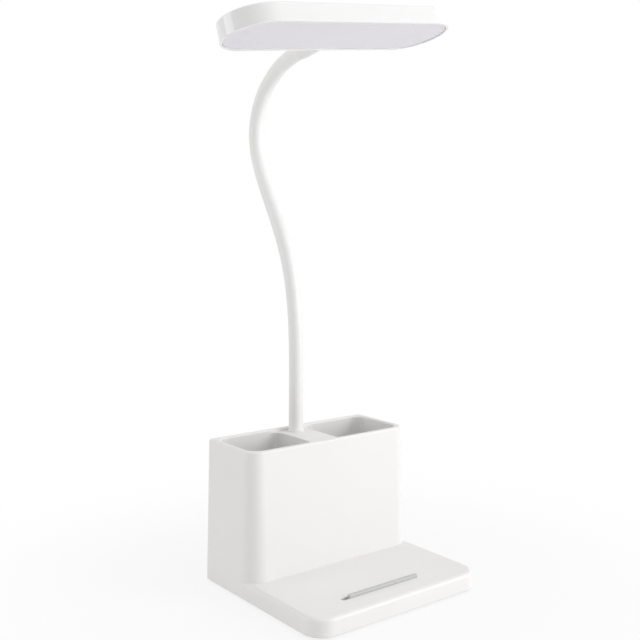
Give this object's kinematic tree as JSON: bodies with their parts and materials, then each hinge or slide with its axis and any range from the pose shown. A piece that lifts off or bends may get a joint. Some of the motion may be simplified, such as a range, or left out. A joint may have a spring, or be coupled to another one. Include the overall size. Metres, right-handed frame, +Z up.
{
  "type": "desk lamp with pen holder",
  "caption": "Desk lamp with a bending neck, a flat stadium-shaped light head, a base with pen wells and a front plate with a stop for a phone.",
  "frame": {"origin": "centre of the base's footprint, at the level of the feet's undersides, 1 mm below the middle of the cover's underside", "axes": "+X to the right along the base's width, +Y to the back, +Z up"},
  "size_m": [0.1618, 0.1534, 0.3524],
  "materials": {
    "white_shell": "satin",
    "white_gloss": "gloss",
    "neck_sleeve": "satin",
    "grey_bar": "satin",
    "foot_rubber": "matte",
    "diffuser_sheet": "satin",
    "steel": "satin",
    "brass_fitting": "satin",
    "board_green": "satin",
    "black_part": "matte",
    "cell_wrap": "satin",
    "lead_red": "satin",
    "led_yellow": "gloss",
    "copper_foil": "satin"
  },
  "bodies": {
    "base": {"base_housing": "white_shell", "bottom_cover": "white_shell", "rubber_feet": "foot_rubber", "cover_screws": "steel", "phone_stop": "grey_bar", "weight_plate": "steel", "battery_cell": "cell_wrap", "battery_cradle": "black_part", "main_board": "board_green", "board_screws": "steel", "board_parts": "black_part", "charging_inlet": "steel", "touch_plate": "copper_foil", "touch_lead": "lead_red", "neck_lead": "black_part", "cell_leads": "lead_red", "neck_collar": "white_shell", "neck_ferrule": "brass_fitting", "neck_washer": "steel", "neck_nut": "steel", "neck_link_01": "neck_sleeve"},
    "link_02": {"neck_link_02": "neck_sleeve"},
    "link_03": {"neck_link_03": "neck_sleeve"},
    "link_04": {"neck_link_04": "neck_sleeve"},
    "link_05": {"neck_link_05": "neck_sleeve"},
    "link_06": {"neck_link_06": "neck_sleeve"},
    "link_07": {"neck_link_07": "neck_sleeve"},
    "link_08": {"neck_link_08": "neck_sleeve"},
    "link_09": {"neck_link_09": "neck_sleeve"},
    "link_10": {"neck_link_10": "neck_sleeve"},
    "link_11": {"neck_link_11": "neck_sleeve"},
    "link_12": {"neck_link_12": "neck_sleeve"},
    "link_13": {"neck_link_13": "neck_sleeve"},
    "head": {"neck_link_14": "neck_sleeve", "head_housing": "white_gloss", "diffuser": "diffuser_sheet", "led_board": "white_shell", "leds": "led_yellow", "led_screws": "steel", "led_leads": "lead_red", "head_ferrule": "brass_fitting", "head_nut": "steel", "head_collar": "white_shell"}
  },
  "joints": [
    {"name": "neck_joint_01", "type": "hinge", "parent": "base", "child": "link_02", "pos_m": [0, 0.0465, 0.1044], "axis": [1, 0, 0], "range_deg": [-8, 12]},
    {"name": "neck_joint_02", "type": "hinge", "parent": "link_02", "child": "link_03", "pos_m": [0, 0.04598, 0.1344], "axis": [0, 1, -0.0087], "range_deg": [-6, 6]},
    {"name": "neck_joint_03", "type": "hinge", "parent": "link_03", "child": "link_04", "pos_m": [0, 0.04702, 0.16438], "axis": [1, 0, 0], "range_deg": [-8, 12]},
    {"name": "neck_joint_04", "type": "hinge", "parent": "link_04", "child": "link_05", "pos_m": [0, 0.05189, 0.19195], "axis": [0, 0.9588, -0.284], "range_deg": [-6, 6]},
    {"name": "neck_joint_05", "type": "hinge", "parent": "link_05", "child": "link_06", "pos_m": [0, 0.06204, 0.21588], "axis": [1, 0, 0], "range_deg": [-8, 12]},
    {"name": "neck_joint_06", "type": "hinge", "parent": "link_06", "child": "link_07", "pos_m": [0, 0.07423, 0.23656], "axis": [0, 0.866, -0.5], "range_deg": [-6, 6]},
    {"name": "neck_joint_07", "type": "hinge", "parent": "link_07", "child": "link_08", "pos_m": [0, 0.08407, 0.25397], "axis": [1, 0, 0], "range_deg": [-9, 9]},
    {"name": "neck_joint_08", "type": "hinge", "parent": "link_08", "child": "link_09", "pos_m": [0, 0.08981, 0.26891], "axis": [0, 0.9763, -0.2164], "range_deg": [-6, 6]},
    {"name": "neck_joint_09", "type": "hinge", "parent": "link_09", "child": "link_10", "pos_m": [0, 0.09078, 0.28287], "axis": [1, 0, 0], "range_deg": [-9, 9]},
    {"name": "neck_joint_10", "type": "hinge", "parent": "link_10", "child": "link_11", "pos_m": [0, 0.08693, 0.29633], "axis": [0, 0.9063, 0.4226], "range_deg": [-6, 6]},
    {"name": "neck_joint_11", "type": "hinge", "parent": "link_11", "child": "link_12", "pos_m": [0, 0.0791, 0.30794], "axis": [1, 0, 0], "range_deg": [-9, 9]},
    {"name": "neck_joint_12", "type": "hinge", "parent": "link_12", "child": "link_13", "pos_m": [0, 0.06822, 0.31675], "axis": [0, 0.5628, 0.8266], "range_deg": [-6, 6]},
    {"name": "neck_joint_13", "type": "hinge", "parent": "link_13", "child": "head", "pos_m": [0, 0.05603, 0.32364], "axis": [1, 0, 0], "range_deg": [-9, 9]}
  ],
  "couplings": [
    {"joint": "neck_joint_03", "follows": "neck_joint_01", "ratio": 1},
    {"joint": "neck_joint_05", "follows": "neck_joint_01", "ratio": 1},
    {"joint": "neck_joint_09", "follows": "neck_joint_07", "ratio": 1},
    {"joint": "neck_joint_11", "follows": "neck_joint_07", "ratio": 1},
    {"joint": "neck_joint_13", "follows": "neck_joint_07", "ratio": 1},
    {"joint": "neck_joint_04", "follows": "neck_joint_02", "ratio": 1},
    {"joint": "neck_joint_06", "follows": "neck_joint_02", "ratio": 1},
    {"joint": "neck_joint_08", "follows": "neck_joint_02", "ratio": 1},
    {"joint": "neck_joint_10", "follows": "neck_joint_02", "ratio": 1},
    {"joint": "neck_joint_12", "follows": "neck_joint_02", "ratio": 1}
  ]
}
